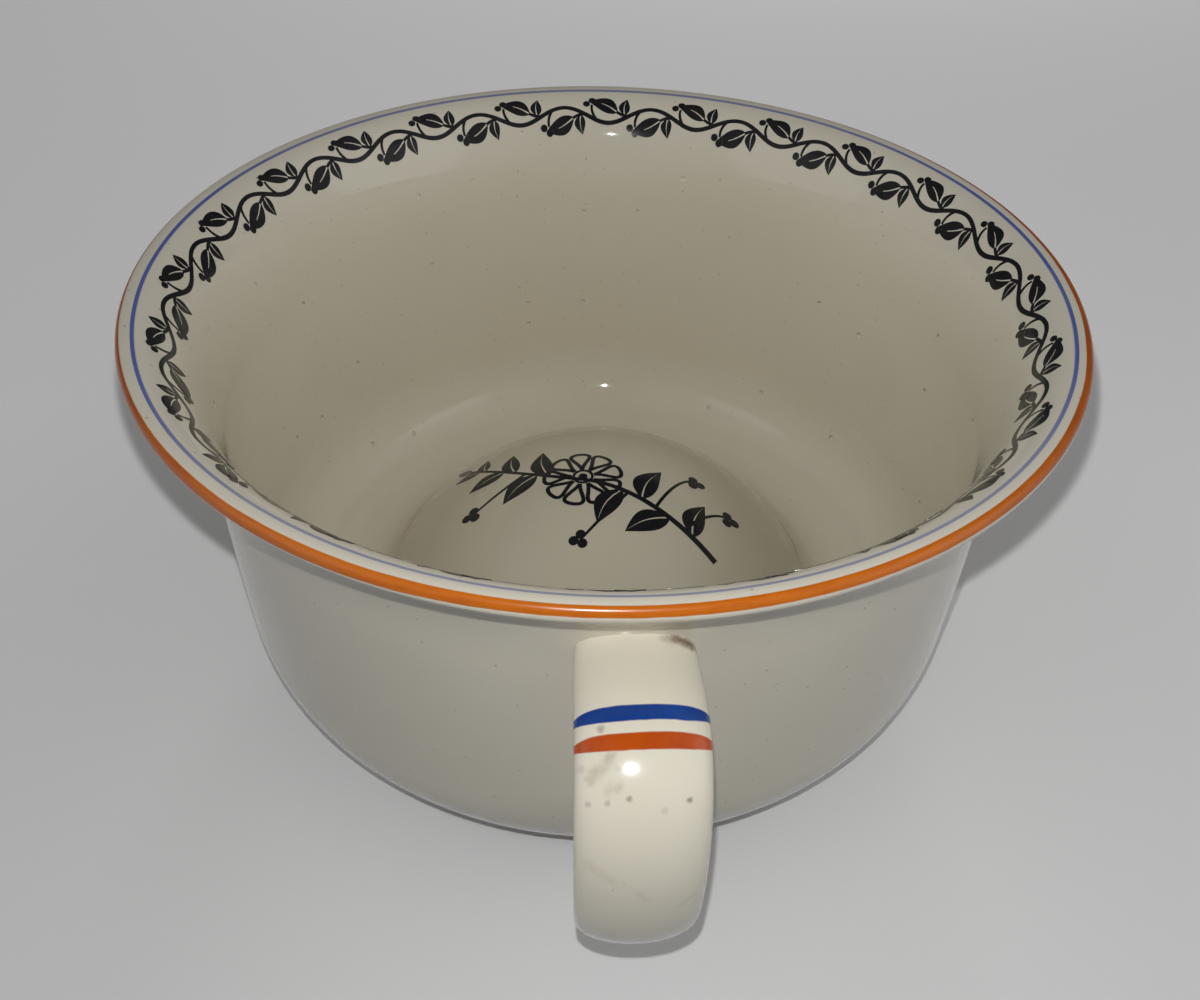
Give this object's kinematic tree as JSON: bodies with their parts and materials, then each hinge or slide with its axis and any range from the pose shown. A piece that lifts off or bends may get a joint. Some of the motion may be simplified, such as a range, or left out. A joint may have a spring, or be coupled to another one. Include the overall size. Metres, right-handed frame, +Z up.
{
  "type": "chamber pot",
  "caption": "Round glazed pottery chamber pot with a flared banded rim and a strap handle, its domed floor hiding a key-wound musical movement that plays while the pot is lifted",
  "frame": {"origin": "on the pot's axis, level with the foot ring's flat face", "axes": "+Z up through the rim, the handle points along -Y, X across the handle"},
  "size_m": [0.235, 0.2627, 0.118],
  "materials": {
    "glaze": "glossy cream glaze with an orange edge, blue lines and dark printed decoration",
    "plug_wood": "bare turned hardwood",
    "tinplate": "dull tinned sheet",
    "brass": "satin brass",
    "steel": "satin steel",
    "spring_steel": "blued spring steel",
    "leather": "soft leather pad"
  },
  "bodies": {
    "pot": {"pot_body": "glaze", "handle": "glaze", "screw_plugs": "plug_wood", "base_cover": "tinplate", "cover_screws": "brass", "bedplate": "brass", "pillars": "brass", "bedplate_screws": "steel", "click_stud": "steel", "click_spring": "spring_steel", "inner_bearing": "brass", "outer_bearing": "brass", "comb": "steel", "comb_block": "brass", "comb_screws": "steel", "governor_cock": "brass"},
    "winding": {"winding_arbor": "steel", "ratchet_wheel": "steel", "winding_key": "brass"},
    "click": {"click": "steel"},
    "barrel": {"spring_barrel": "brass", "barrel_lid": "brass", "mainspring": "spring_steel"},
    "cylinder": {"music_cylinder": "brass", "cylinder_arbor": "steel", "cylinder_pinion": "steel", "cylinder_wheel": "brass"},
    "governor": {"governor_arbor": "steel", "governor_wheel": "brass"},
    "fly": {"fly_arbor": "steel", "fly_fan": "steel", "brake_drum": "brass"},
    "stop": {"stop_pin": "steel", "stop_pad": "leather"}
  },
  "joints": [
    {"name": "key_wind", "type": "hinge", "parent": "pot", "child": "winding", "pos_m": [-0.02, 0, 0.0131], "axis": [0, 0, 1], "range_deg": [0, 2160]},
    {"name": "click_lift", "type": "hinge", "parent": "pot", "child": "click", "pos_m": [-0.0133, -0.009, 0.0137], "axis": [0, 0, -1], "range_deg": [0, 10], "stiffness_Nm_per_rad": 0.0004},
    {"name": "barrel_turn", "type": "hinge", "parent": "pot", "child": "barrel", "pos_m": [-0.02, 0, 0.02], "axis": [0, 0, 1], "continuous": true},
    {"name": "cylinder_turn", "type": "hinge", "parent": "pot", "child": "cylinder", "pos_m": [0.015, 0, 0.02495], "axis": [1, 0, 0], "continuous": true},
    {"name": "governor_turn", "type": "hinge", "parent": "pot", "child": "governor", "pos_m": [0.031, -0.00875, 0.02495], "axis": [1, 0, 0], "continuous": true},
    {"name": "fly_turn", "type": "hinge", "parent": "pot", "child": "fly", "pos_m": [0.02, -0.01495, 0.02269], "axis": [1, 0, 0], "continuous": true},
    {"name": "stop_slide", "type": "slide", "parent": "pot", "child": "stop", "axis": [0, 0, 1], "range_m": [-0.0023, 0]}
  ],
  "couplings": [
    {"joint": "cylinder_turn", "follows": "barrel_turn", "ratio": 3},
    {"joint": "governor_turn", "follows": "barrel_turn", "ratio": -12},
    {"joint": "fly_turn", "follows": "barrel_turn", "ratio": 54}
  ]
}
